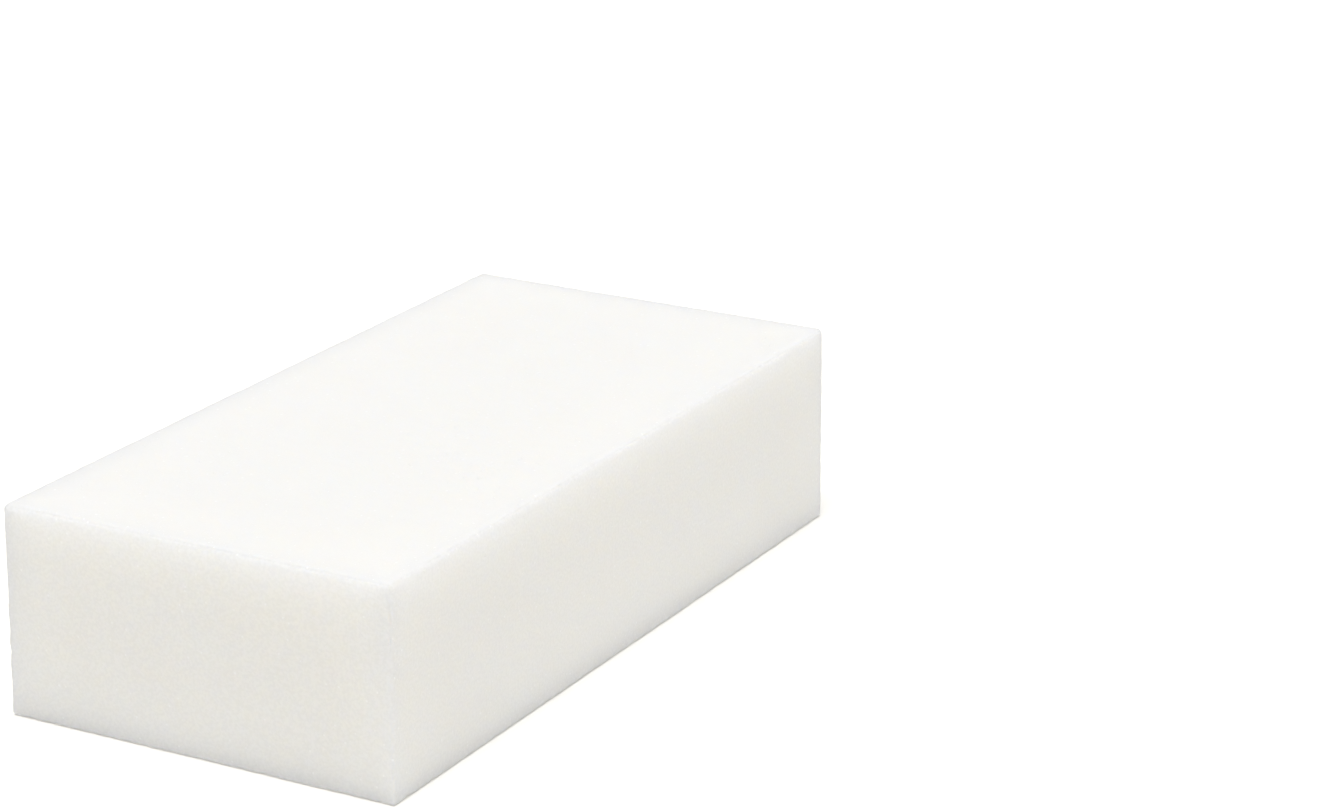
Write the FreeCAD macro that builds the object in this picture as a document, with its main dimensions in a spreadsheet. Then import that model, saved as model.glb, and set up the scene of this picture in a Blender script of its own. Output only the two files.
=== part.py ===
import FreeCAD, Part
import os

import Sketcher

# Four-sided buffing block, lying on one broad face.
#
# A foam core carries a resin bond coat on each of its four long faces, and each bond
# coat carries a grit coat. The two ends are bare cut foam. The broad faces are coated
# first and the narrow faces last, so the narrow coats cover the broad coats' edges.
#
# Frame: the origin is the centre of the bottom face, +Y runs along the block, +X across
# it and +Z up. Lengths are in millimetres.

DIMENSIONS = (
    ("block_length", 100.0, "overall, along Y"),
    ("block_width", 50.0, "overall, along X, over both narrow coats"),
    ("block_height", 25.0, "overall, along Z, over both broad coats"),
    ("bond_thickness", 0.1, "resin that holds the grit on the foam"),
    ("grit_thickness", 0.1, "abrasive grains and the resin between them"),
)

# Insets from the block's outer faces, as expressions of the driving dimensions.
CORE_INSET = "(Dims.bond_thickness + Dims.grit_thickness)"
BOND_INSET = "Dims.grit_thickness"
GRIT_INSET = "0"


def make_sheet(doc):
    """Puts each driving dimension in a named cell of the sheet Dims."""
    sheet = doc.addObject("Spreadsheet::Sheet", "Dims")
    for row, (name, value, meaning) in enumerate(DIMENSIONS, start=1):
        sheet.set(f"A{row}", name)
        sheet.set(f"B{row}", str(value))
        sheet.set(f"C{row}", meaning)
        sheet.setAlias(f"B{row}", name)
    doc.recompute()
    return sheet


def cross_plane(body):
    """The body's own XZ plane, which cuts across the block."""
    return next(f for f in body.Origin.OriginFeatures if f.Role == "XZ_Plane")


def add_rectangle(sketch, near_x, low_z, wide, high):
    """Draws a rectangle from (near_x, low_z), sized by four named constraints."""
    far_x = near_x + wide
    top_z = low_z + high
    corners = ((near_x, low_z), (far_x, low_z), (far_x, top_z), (near_x, top_z))
    points = [FreeCAD.Vector(x, z, 0) for x, z in corners]
    for i, point in enumerate(points):
        sketch.addGeometry(Part.LineSegment(point, points[(i + 1) % len(points)]))
    for i in range(len(points)):
        following = (i + 1) % len(points)
        sketch.addConstraint(Sketcher.Constraint("Coincident", i, 2, following, 1))
    for edge in (0, 2):
        sketch.addConstraint(Sketcher.Constraint("Horizontal", edge))
    for edge in (1, 3):
        sketch.addConstraint(Sketcher.Constraint("Vertical", edge))
    sizes = (
        ("wide", Sketcher.Constraint("DistanceX", 0, 1, 0, 2, wide)),
        ("high", Sketcher.Constraint("DistanceY", 1, 1, 1, 2, high)),
        ("near_x", Sketcher.Constraint("DistanceX", -1, 1, 0, 1, near_x)),
        ("low_z", Sketcher.Constraint("DistanceY", -1, 1, 0, 1, low_z)),
    )
    for name, constraint in sizes:
        sketch.renameConstraint(sketch.addConstraint(constraint), name)


def add_bar(doc, label, **expressions):
    """A straight bar as long as the block, whose cross-section is bound to the sheet."""
    body = doc.addObject("PartDesign::Body", label)
    body.Label = label
    sketch = body.newObject("Sketcher::SketchObject", f"{label}_section")
    sketch.AttachmentSupport = [(cross_plane(body), "")]
    sketch.MapMode = "FlatFace"
    add_rectangle(sketch, near_x=5.0, low_z=5.0, wide=10.0, high=10.0)
    for name, expression in expressions.items():
        sketch.setExpression(f"Constraints.{name}", expression)
    pad = body.newObject("PartDesign::Pad", f"{label}_pad")
    pad.Profile = sketch
    pad.Midplane = True
    pad.setExpression("Length", "Dims.block_length")
    body.Tip = pad
    return body


def add_core(doc):
    """The foam itself, which reaches the bond coats on all four long faces."""
    return add_bar(
        doc,
        "foam_core",
        wide=f"Dims.block_width - 2 * {CORE_INSET}",
        high=f"Dims.block_height - 2 * {CORE_INSET}",
        near_x=f"-(Dims.block_width / 2 - {CORE_INSET})",
        low_z=CORE_INSET,
    )


def add_broad_coat(doc, label, thickness, inset):
    """A coat on the top face, as wide as the core, its outer face at inset below the top."""
    return add_bar(
        doc,
        label,
        wide=f"Dims.block_width - 2 * {CORE_INSET}",
        high=thickness,
        near_x=f"-(Dims.block_width / 2 - {CORE_INSET})",
        low_z=f"Dims.block_height - {inset} - {thickness}",
    )


def add_narrow_coat(doc, label, thickness, inset):
    """A coat on the +X face, the block's full height, its outer face at inset within it."""
    return add_bar(
        doc,
        label,
        wide=thickness,
        high="Dims.block_height",
        near_x=f"Dims.block_width / 2 - {inset} - {thickness}",
        low_z="0",
    )


def turn_over(body):
    """Moves a top coat to the bottom: half a turn about the block's long centre line."""
    body.Placement.Rotation = FreeCAD.Rotation(FreeCAD.Vector(0, 1, 0), 180)
    body.setExpression("Placement.Base.z", "Dims.block_height")


def turn_round(body):
    """Moves a +X coat to the -X face: half a turn about the vertical axis."""
    body.Placement.Rotation = FreeCAD.Rotation(FreeCAD.Vector(0, 0, 1), 180)


def add_coats(doc):
    """A bond coat and a grit coat on each of the four long faces."""
    coats = (
        ("bond_coat", "Dims.bond_thickness", BOND_INSET),
        ("grit_coat", "Dims.grit_thickness", GRIT_INSET),
    )
    bodies = []
    for name, thickness, inset in coats:
        bodies.append(add_broad_coat(doc, f"top_{name}", thickness, inset))
        bottom = add_broad_coat(doc, f"bottom_{name}", thickness, inset)
        turn_over(bottom)
        bodies.append(bottom)
        bodies.append(add_narrow_coat(doc, f"right_{name}", thickness, inset))
        left = add_narrow_coat(doc, f"left_{name}", thickness, inset)
        turn_round(left)
        bodies.append(left)
    return bodies


def check(doc, bodies):
    """Stops if any object failed to compute, or a sub-part isn't one valid solid."""
    for item in doc.Objects:
        if {"Invalid", "Error"} & set(item.State):
            raise RuntimeError(f"{item.Label} failed: {item.State}")
    for body in bodies:
        shape = body.Shape
        if shape.isNull() or not shape.isValid() or len(shape.Solids) != 1:
            raise RuntimeError(f"{body.Label} is not one valid solid")


def write(bodies):
    """Writes each sub-part to parts/, named by its label."""
    os.makedirs("parts", exist_ok=True)
    for body in bodies:
        body.Shape.exportStep(f"parts/{body.Label}.step")
        box = body.Shape.BoundBox
        print(
            f"{body.Label:18s} X {box.XMin:7.2f} {box.XMax:7.2f}"
            f"  Y {box.YMin:7.2f} {box.YMax:7.2f}  Z {box.ZMin:6.2f} {box.ZMax:6.2f}"
            f"  volume {body.Shape.Volume:10.2f}"
        )


def main():
    doc = FreeCAD.newDocument("BuffingBlock")
    make_sheet(doc)
    bodies = [add_core(doc)] + add_coats(doc)
    doc.recompute()
    check(doc, bodies)
    write(bodies)


main()
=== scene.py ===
import math

import bpy
import numpy as np
from mathutils import Matrix, Vector, noise


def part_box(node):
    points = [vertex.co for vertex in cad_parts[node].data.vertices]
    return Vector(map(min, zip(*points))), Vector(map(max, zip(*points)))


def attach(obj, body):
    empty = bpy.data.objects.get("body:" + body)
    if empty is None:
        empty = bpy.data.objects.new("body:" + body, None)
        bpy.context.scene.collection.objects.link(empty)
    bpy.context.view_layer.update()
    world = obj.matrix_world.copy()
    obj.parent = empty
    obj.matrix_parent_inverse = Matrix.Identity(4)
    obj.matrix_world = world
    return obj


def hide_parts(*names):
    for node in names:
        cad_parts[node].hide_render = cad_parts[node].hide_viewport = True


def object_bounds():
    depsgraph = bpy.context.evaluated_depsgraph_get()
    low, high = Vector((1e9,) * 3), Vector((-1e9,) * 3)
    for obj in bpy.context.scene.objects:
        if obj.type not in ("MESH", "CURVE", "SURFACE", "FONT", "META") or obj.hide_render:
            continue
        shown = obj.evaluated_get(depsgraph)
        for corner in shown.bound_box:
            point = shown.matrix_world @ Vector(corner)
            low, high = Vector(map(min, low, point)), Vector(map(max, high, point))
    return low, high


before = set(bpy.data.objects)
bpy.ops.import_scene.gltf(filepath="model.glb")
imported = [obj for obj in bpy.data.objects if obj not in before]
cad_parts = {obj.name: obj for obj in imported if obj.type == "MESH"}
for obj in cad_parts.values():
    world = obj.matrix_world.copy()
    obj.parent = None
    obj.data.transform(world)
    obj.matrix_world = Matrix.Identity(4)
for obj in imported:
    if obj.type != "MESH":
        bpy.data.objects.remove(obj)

# A white nail buffer block: a bar of soft, fine-celled foam whose four long faces carry a
# resin coat with abrasive grains bedded in it. The two ends are bare cut foam.
# X runs across the block, Y along it and Z up. Everything is in metres.

MM = 0.001

CAD_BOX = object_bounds()
CAD_LOW, CAD_HIGH = (np.array(corner) for corner in CAD_BOX)
CENTRE = Vector((CAD_LOW + CAD_HIGH) / 2)

# The foam piece is the core with the four bond coats soaked into its skin, so its long
# faces reach the outside of the bond coats, and its ends are the block's own.
BOND_COATS = ("top_bond_coat", "bottom_bond_coat", "right_bond_coat", "left_bond_coat")
FOAM_LOW = np.array(
    [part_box("left_bond_coat")[0][0], CAD_LOW[1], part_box("bottom_bond_coat")[0][2]]
)
FOAM_HIGH = np.array(
    [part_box("right_bond_coat")[1][0], CAD_HIGH[1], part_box("top_bond_coat")[1][2]]
)

# Foam mesh: a few close steps along the edges, then wider ones on the faces. The die enters
# from above and draws the upper edges in, so the radius grows from the bottom to the top.
EDGE_RADII = (0.22 * MM, 0.80 * MM)
EDGE_STEP = 0.09 * MM
EDGE_STEPS = 4
FACE_STEP = 0.50 * MM
STEP_GROWTH = 1.5

# How far the foam's surface sinks below its flat faces, and over what distances
KNIFE_WAVE = (0.05 * MM, 14 * MM)
CELL_RELIEF = (0.025 * MM, 1.6 * MM)

# Smooth noise for the mesh: its dimension, lacunarity and octaves, and the place in it that
# each seed moves on by
WAVE_SHAPE = (0.9, 2.0, 2)
SEED_OFFSET = Vector((17.3, 5.1, 29.7))

# Rubbed and torn edges: the deepest loss, the length of one bite and how far it reaches in
WORN_DEPTH = 0.15 * MM
WORN_LENGTH = 1.2 * MM
WORN_REACH = 0.40 * MM

# Painted shade: grey along the edges, over the brightness that light gives the rounded rims.
# How fast it fades across the broad faces from their rims, over the lip onto the upright
# faces, and away from the upright edges, and how grey a rim gets
EDGE_SHADE_RIM = 2.5 * MM
EDGE_SHADE_LIP = 0.8 * MM
EDGE_SHADE_UPRIGHT = 2.0 * MM
RIM_SHARE = 0.9

# Painted light under the upper edges: a paler tint that adds to the band which light coming
# through the foam from the top makes there. How far it reaches down, and onto the top
GLOW_DROP = 1.8 * MM
GLOW_LIP = 0.4 * MM

# The cells show on the upright faces. On the broad ones resin fills most of them, from
# this close to the rims.
CELL_FADE = 0.3 * MM

# Grains: one in each square of about this pitch, with a radius between these two. They lie
# flat, their middles are sunk by a share of their half height, and the rims have lost theirs.
GRAIN_PITCH = 0.7 * MM
GRAIN_RADII = (0.06 * MM, 0.13 * MM)
GRAIN_FLATNESS = 0.35
GRAIN_BEDDING = (0.35, 0.9)
GRAIN_MARGIN = 0.4 * MM

# A grain is an octahedron: four corners round its waist and two tips, each knocked askew
GRAIN_CORNERS = [(1, 0, 0), (0, 1, 0), (-1, 0, 0), (0, -1, 0), (0, 0, 1), (0, 0, -1)]
WAIST, TIP_ABOVE, TIP_BELOW = 4, 4, 5
GRAIN_ASKEW = 0.3

# Coats: node, the axis it faces and which way along it
COATS = (
    ("top_grit_coat", 2, 1),
    ("bottom_grit_coat", 2, -1),
    ("right_grit_coat", 0, 1),
    ("left_grit_coat", 0, -1),
)

# Foam material. Spans are distances from the middle of a pore or painted glint, in pitches.
# Filled cells keep this share of their contrast and relief. A bump is a strength and a
# distance. Light of each colour travels this far in the foam, as a share of the scatter length.
FOAM_WARM = (0.880, 0.870, 0.840, 1)
FOAM_COOL = (0.880, 0.874, 0.851, 1)
# Painted light: the paler tint under the upper edges
FOAM_PAINTED_GLOW = (0.930, 0.929, 0.926, 1)
# Painted shade: the grey along the edges
FOAM_EDGE_SHADE = (0.800, 0.798, 0.790, 1)
# Painted highlight: the white of the glints
FOAM_PAINTED_GLINT = (0.97, 0.97, 0.96, 1)
CELL_SIZE = 0.35 * MM
MOTTLE_SIZE = 8 * MM
PORE_PITCH = 0.45 * MM
PORE_SPAN = (0.1, 0.45)
PORE_HEIGHT = 0.4
GLINT_PITCH = 1.5 * MM
GLINT_SPAN = (0.05, 0.12)
GLINT_SHARE = 0.6
CELL_CONTRAST = 0.02
FILLED_CELLS = 0.3
FOAM_ROUGHNESS = (0.8, 1.0)
FOAM_SPECULAR = 0.15
FOAM_BUMP = (0.2, 0.03 * MM)
SCATTER_COLOUR = (1.0, 0.93, 0.78)
SCATTER_LENGTH = 7 * MM

# Grit material, where the facets are also the bump
GRIT_DULL = (0.93, 0.925, 0.91, 1)
GRIT_BRIGHT = (0.97, 0.967, 0.955, 1)
GRIT_SHADE_SIZE = 0.6 * MM
FACET_SIZE = 0.05 * MM
GRIT_ROUGHNESS = (0.4, 0.7)
GRIT_SPECULAR = 0.3
GRIT_BUMP = (0.4, 0.01 * MM)

# Noise stays mostly between these, so colours and roughness are spread over them
NOISE_SPAN = (0.3, 0.7)

# Table: it glows faintly, like a light table
WHITE = (1, 1, 1, 1)
TABLE_HALF = 3.0
TABLE_COLOUR = (0.99, 0.975, 0.935, 1)
TABLE_ROUGHNESS = 0.9
TABLE_GLOW = 0.16

# Square lamps: name, offset from the block's centre, side and power in watts
SOFTBOXES = (
    ("ceiling", (0, 0.3, 5.0), 4.0, 212),
    ("front_high", (0, -2.6, 4.2), 3.0, 104),
    ("front_low", (-0.8, -2.9, 0.5), 1.2, 1.5),
    ("right", (2.75, 1.2, 0.5), 1.2, 17.0),
)

# Camera: angles in degrees, and the point that it aims at, from the block's centre
AZIMUTH, ELEVATION, ROLL = 28.64, 18.68, 0.16
AIM_OFFSET = Vector((0.0039, 0.0459, 0))
CAMERA_DISTANCE = 0.4808
SENSOR_WIDTH = 36.0
FOCAL_LENGTH = 103.55


# Meshes

def graded(low, high):
    """Places from low to high, close together near both ends and wider apart between."""
    steps = [EDGE_STEP] * EDGE_STEPS
    while steps[-1] * STEP_GROWTH < FACE_STEP:
        steps.append(steps[-1] * STEP_GROWTH)
    ramp = np.concatenate(([0.0], np.cumsum(steps)))
    middle = high - low - 2 * ramp[-1]
    inner = np.linspace(low + ramp[-1], high - ramp[-1], round(middle / FACE_STEP) + 1)
    return np.concatenate((low + ramp[:-1], inner, (high - ramp[:-1])[::-1]))


def box_skin(places):
    """Corners and quads of a box's six faces, on a grid with the given places on each axis."""
    low_ring = ((0, 0), (0, 1), (1, 1), (1, 0))
    high_ring = low_ring[:1] + low_ring[:0:-1]
    quads = []
    for axis in range(3):
        across, up = (axis + 1) % 3, (axis + 2) % 3
        cells = [np.arange(len(places[a]) - 1) for a in (across, up)]
        u, v = np.meshgrid(*cells, indexing="ij")
        last = len(places[axis]) - 1
        for side, ring in ((0, low_ring), (last, high_ring)):
            corners = np.full(u.shape + (4, 3), side)
            for number, (du, dv) in enumerate(ring):
                corners[..., number, across] = u + du
                corners[..., number, up] = v + dv
            quads.append(corners.reshape(-1, 3))
    unique, index = np.unique(np.concatenate(quads), axis=0, return_inverse=True)
    points = np.stack([places[axis][unique[:, axis]] for axis in range(3)], axis=1)
    return points, index.reshape(-1, 4)


def mesh_object(name, points, polygons):
    """A mesh of polygons that all have the same number of sides."""
    sides = polygons.shape[1]
    mesh = bpy.data.meshes.new(name)
    mesh.vertices.add(len(points))
    mesh.vertices.foreach_set("co", points.astype(np.float32).ravel())
    mesh.loops.add(polygons.size)
    mesh.loops.foreach_set("vertex_index", polygons.astype(np.int32).ravel())
    mesh.polygons.add(len(polygons))
    mesh.polygons.foreach_set("loop_start", np.arange(0, polygons.size, sides, dtype=np.int32))
    mesh.update(calc_edges=True)
    mesh.validate()
    thing = bpy.data.objects.new(name, mesh)
    bpy.context.scene.collection.objects.link(thing)
    return thing


def waves(points, wavelength, seed):
    """Smooth noise from 0 to 1 at each point."""
    offset = SEED_OFFSET * seed
    places = (Vector(point) / wavelength + offset for point in points)
    values = [noise.fractal(place, *WAVE_SHAPE) for place in places]
    return np.clip(0.5 + 0.5 * np.array(values), 0, 1)


def edge_depth(flat):
    """How far each point of the plain box's skin lies inside its faces, on each axis."""
    return np.minimum(flat - FOAM_LOW, FOAM_HIGH - flat)


def real_skin(flat):
    """Moves points from the plain box's skin to the real foam's: cut by a wire, so a little
    uneven, with rounded, worn edges."""
    height = (flat[:, 2:] - FOAM_LOW[2]) / (FOAM_HIGH[2] - FOAM_LOW[2])
    radius = EDGE_RADII[0] + (EDGE_RADII[1] - EDGE_RADII[0]) * height
    nearest = np.clip(flat, FOAM_LOW + radius, FOAM_HIGH - radius)
    outward = flat - nearest
    outward /= np.linalg.norm(outward, axis=1, keepdims=True)
    sinks = sum(
        deepest * waves(flat, wavelength, seed)
        for seed, (deepest, wavelength) in enumerate((KNIFE_WAVE, CELL_RELIEF), 1)
    )
    points = nearest + outward * (radius - sinks[:, None])

    depth = edge_depth(flat)
    inward = np.sign((FOAM_LOW + FOAM_HIGH) / 2 - flat)
    bites = WORN_DEPTH * waves(flat, WORN_LENGTH, 3) ** 2
    for pair in ((0, 1), (0, 2), (1, 2)):
        loss = bites * np.exp(-depth[:, pair].sum(axis=1) / WORN_REACH)
        points[:, pair] += inward[:, pair] * loss[:, None]
    return points


def foam_block():
    flat, quads = box_skin([graded(FOAM_LOW[axis], FOAM_HIGH[axis]) for axis in range(3)])
    foam = mesh_object("foam_core", real_skin(flat), quads)
    foam.data.shade_smooth()
    depth = edge_depth(flat)
    rim = np.exp(-depth[:, :2].min(axis=1) / EDGE_SHADE_RIM - depth[:, 2] / EDGE_SHADE_LIP)
    upright = np.exp(-depth[:, :2].max(axis=1) / EDGE_SHADE_UPRIGHT)
    drop = FOAM_HIGH[2] - flat[:, 2]
    shares = {
        # Painted shade: grey along the edges
        "painted_edge_shade": np.maximum(RIM_SHARE * rim, upright),
        # Painted light: a paler tint under the upper edges
        "painted_glow": np.exp(-drop / GLOW_DROP - depth[:, :2].min(axis=1) / GLOW_LIP),
        "open": np.exp(-depth[:, :2].min(axis=1) / CELL_FADE),
    }
    for name, values in shares.items():
        attribute = foam.data.attributes.new(name, "FLOAT", "POINT")
        attribute.data.foreach_set("value", values.astype(np.float32))
    return foam


def grit_coat(name, axis, side, seed):
    """Sharp, blocky grains bedded in one long face of the foam, kept inside the CAD box."""
    random = np.random.default_rng(seed)
    across = 2 - axis
    rows = []
    for a in (1, across):
        low, high = FOAM_LOW[a] + GRAIN_MARGIN, FOAM_HIGH[a] - GRAIN_MARGIN
        number = round((high - low) / GRAIN_PITCH)
        rows.append(np.linspace(low, high, number, endpoint=False))
    along, wide = (grid.ravel() for grid in np.meshgrid(*rows, indexing="ij"))
    count = along.size
    radius = GRAIN_RADII[0] + (GRAIN_RADII[1] - GRAIN_RADII[0]) * random.random(count) ** 2

    flat = np.empty((count, 3))
    flat[:, 1] = along + GRAIN_PITCH * random.random(count)
    flat[:, across] = wide + GRAIN_PITCH * random.random(count)
    flat[:, axis] = FOAM_HIGH[axis] if side > 0 else FOAM_LOW[axis]
    centres = real_skin(flat)
    centres[:, axis] -= side * radius * GRAIN_FLATNESS * random.uniform(*GRAIN_BEDDING, count)

    corners = np.array(GRAIN_CORNERS, float)
    waist = [(a, (a + 1) % WAIST) for a in range(WAIST)]
    upper = [(a, b, TIP_ABOVE) for a, b in waist]
    lower = [(b, a, TIP_BELOW) for a, b in waist]
    faces = np.array(upper + lower)
    chips = corners[None] + random.uniform(-GRAIN_ASKEW, GRAIN_ASKEW, (count, len(corners), 3))
    turns = np.linalg.qr(random.normal(size=(count, 3, 3)))[0]
    chips = np.einsum("nij,nkj->nki", turns, chips) * radius[:, None, None]
    chips[:, :, axis] *= GRAIN_FLATNESS
    points = np.clip(chips + centres[:, None, :], CAD_LOW, CAD_HIGH).reshape(-1, 3)
    flipped = np.linalg.det(turns) < 0
    polygons = np.where(flipped[:, None, None], faces[None, :, ::-1], faces[None])
    polygons = polygons + np.arange(count)[:, None, None] * len(corners)
    return mesh_object(name, points, polygons.reshape(-1, 3))


# Materials

class Nodes:
    """A new material and a short way to add nodes to it."""

    def __init__(self, name):
        self.material = bpy.data.materials.new(name)
        self.material.use_nodes = True
        self.tree = self.material.node_tree
        self.shader = self.tree.nodes["Principled BSDF"]

    def add(self, kind, settings=(), **inputs):
        """Adds a node. An input is a constant, or another node's output to link."""
        node = self.tree.nodes.new("ShaderNode" + kind)
        for key, value in dict(settings).items():
            setattr(node, key, value)
        for key, value in inputs.items():
            self.set(node, key.replace("_", " "), value)
        return node

    def set(self, node, key, value):
        """Sets an input by its name, or by its number as i0, i1 and so on."""
        numbered = key[0] == "i" and key[1:].isdigit()
        socket = node.inputs[int(key[1:]) if numbered else key]
        if isinstance(value, bpy.types.NodeSocket):
            self.tree.links.new(value, socket)
        else:
            socket.default_value = value

    def place(self):
        """The point's place in the frame, in metres."""
        return self.add("TexCoord").outputs["Object"]

    def attribute(self, name):
        """A number that the mesh carries at each point."""
        return self.add("Attribute", {"attribute_name": name}).outputs["Fac"]

    def noise(self, place, size, detail=2.0):
        """Noise from 0 to 1 with lumps of the given size."""
        return self.add("TexNoise", Vector=place, Scale=1 / size, Detail=detail).outputs["Fac"]

    def dots(self, place, pitch):
        """Distance from scattered points, about one in each cube of the given pitch."""
        return self.add("TexVoronoi", Vector=place, Scale=1 / pitch).outputs["Distance"]

    def ramp(self, value, span, result):
        """Goes smoothly from result's first number to its second, while value crosses span."""
        ends = dict(zip(("From_Min", "From_Max", "To_Min", "To_Max"), span + result))
        node = self.add("MapRange", {"interpolation_type": "SMOOTHSTEP"}, Value=value, **ends)
        return node.outputs["Result"]

    def math(self, operation, first, second):
        node = self.add("Math", {"operation": operation}, i0=first, i1=second)
        return node.outputs["Value"]

    def mix(self, factor, first, second):
        """A colour between two others. Its colour sockets are numbers 6 and 7, and 2 going out."""
        node = self.add("Mix", {"data_type": "RGBA"}, i0=factor, i6=first, i7=second)
        return node.outputs[2]

    def scaled(self, colour, value):
        """A colour made darker or lighter."""
        node = self.add("VectorMath", {"operation": "SCALE"}, i0=colour, Scale=value)
        return node.outputs["Vector"]

    def bump(self, height, strength, distance):
        """Lets the shader's surface follow a height from 0 to 1."""
        node = self.add("Bump", Height=height, Strength=strength, Distance=distance)
        self.set(self.shader, "Normal", node.outputs["Normal"])


def foam_material():
    """Milk-white open-celled foam: light goes in and comes out millimetres away."""
    n = Nodes("foam")
    place = n.place()
    cells = n.noise(place, CELL_SIZE, detail=1.0)
    mottle = n.noise(place, MOTTLE_SIZE)
    pores = n.dots(place, PORE_PITCH)
    painted_glints = n.dots(place, GLINT_PITCH)
    openness = n.ramp(n.attribute("open"), (0.0, 1.0), (FILLED_CELLS, 1.0))

    colour = n.mix(n.ramp(mottle, NOISE_SPAN, (0.0, 1.0)), FOAM_WARM, FOAM_COOL)
    # Painted light: a paler tint under the upper edges
    colour = n.mix(n.attribute("painted_glow"), colour, FOAM_PAINTED_GLOW)
    # Painted shade: grey along the edges
    colour = n.mix(n.attribute("painted_edge_shade"), colour, FOAM_EDGE_SHADE)
    shade = n.ramp(cells, NOISE_SPAN, (-CELL_CONTRAST, CELL_CONTRAST))
    shade = n.math("MULTIPLY", shade, openness)
    colour = n.scaled(colour, n.math("ADD", shade, 1.0))
    # Painted highlight: small white glints in the colour
    colour = n.mix(n.ramp(painted_glints, GLINT_SPAN, (GLINT_SHARE, 0.0)), colour, FOAM_PAINTED_GLINT)
    n.set(n.shader, "Base Color", colour)

    n.set(n.shader, "Subsurface Weight", 1.0)
    n.set(n.shader, "Subsurface Radius", SCATTER_COLOUR)
    n.set(n.shader, "Subsurface Scale", SCATTER_LENGTH)
    n.set(n.shader, "Specular IOR Level", FOAM_SPECULAR)
    n.set(n.shader, "Roughness", n.ramp(cells, NOISE_SPAN, FOAM_ROUGHNESS))

    height = n.math("ADD", cells, n.ramp(pores, PORE_SPAN, (0.0, PORE_HEIGHT)))
    n.bump(n.math("MULTIPLY", height, openness), *FOAM_BUMP)
    return n.material


def grit_material():
    """White fused alumina under a thin film of resin: pale, sharp and faintly glossy."""
    n = Nodes("grit")
    place = n.place()
    shade = n.noise(place, GRIT_SHADE_SIZE, detail=1.0)
    facets = n.noise(place, FACET_SIZE)
    colour = n.mix(n.ramp(shade, NOISE_SPAN, (0.0, 1.0)), GRIT_DULL, GRIT_BRIGHT)
    n.set(n.shader, "Base Color", colour)
    n.set(n.shader, "Roughness", n.ramp(facets, NOISE_SPAN, GRIT_ROUGHNESS))
    n.set(n.shader, "Specular IOR Level", GRIT_SPECULAR)
    n.bump(facets, *GRIT_BUMP)
    return n.material


# The block

def add_block():
    foam = foam_block()
    foam.data.materials.append(foam_material())
    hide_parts("foam_core", *BOND_COATS)
    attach(foam, "root")

    grit = grit_material()
    for seed, (node, axis, side) in enumerate(COATS):
        coat = grit_coat(node, axis, side, seed)
        coat.data.materials.append(grit)
        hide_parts(node)
        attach(coat, "root")


# Studio

def add_floor():
    corners = [(-1, -1), (1, -1), (1, 1), (-1, 1)]
    points = [(x * TABLE_HALF, y * TABLE_HALF, CAD_LOW[2]) for x, y in corners]
    floor = mesh_object("floor", np.array(points), np.array([range(len(points))]))
    n = Nodes("floor")
    n.set(n.shader, "Base Color", TABLE_COLOUR)
    n.set(n.shader, "Roughness", TABLE_ROUGHNESS)
    n.set(n.shader, "Emission Color", WHITE)
    n.set(n.shader, "Emission Strength", TABLE_GLOW)
    floor.data.materials.append(n.material)


def add_world():
    """The lamps do the lighting. The camera sees plain white where the floor ends."""
    world = bpy.data.worlds.new("studio")
    bpy.context.scene.world = world
    world.use_nodes = True
    tree = world.node_tree
    background = tree.nodes["Background"]
    background.inputs["Color"].default_value = WHITE
    seen = tree.nodes.new("ShaderNodeLightPath").outputs["Is Camera Ray"]
    tree.links.new(seen, background.inputs["Strength"])


def add_softbox(name, offset, size, power):
    """A square lamp at an offset from the block's centre, facing it."""
    data = bpy.data.lights.new(name, "AREA")
    data.shape = "SQUARE"
    data.size = size
    data.energy = power
    lamp = bpy.data.objects.new(name, data)
    lamp.location = CENTRE + Vector(offset)
    lamp.rotation_euler = (-Vector(offset)).to_track_quat("-Z", "Y").to_euler()
    bpy.context.scene.collection.objects.link(lamp)


def add_camera():
    """The photo's view: its angles, its framing and its lens."""
    azimuth, elevation, roll = (math.radians(angle) for angle in (AZIMUTH, ELEVATION, ROLL))
    level = math.cos(elevation)
    back = Vector((math.sin(azimuth) * level, -math.cos(azimuth) * level, math.sin(elevation)))
    data = bpy.data.cameras.new("camera")
    data.sensor_width = SENSOR_WIDTH
    data.lens = FOCAL_LENGTH
    camera = bpy.data.objects.new("camera", data)
    camera.location = CENTRE + AIM_OFFSET + back * CAMERA_DISTANCE
    turn = (-back).to_track_quat("-Z", "Y").to_matrix() @ Matrix.Rotation(roll, 3, "Z")
    camera.rotation_euler = turn.to_euler()
    bpy.context.scene.collection.objects.link(camera)
    bpy.context.scene.camera = camera


add_block()
add_floor()
add_world()
for softbox in SOFTBOXES:
    add_softbox(*softbox)
add_camera()
bpy.context.scene.view_settings.view_transform = "Standard"
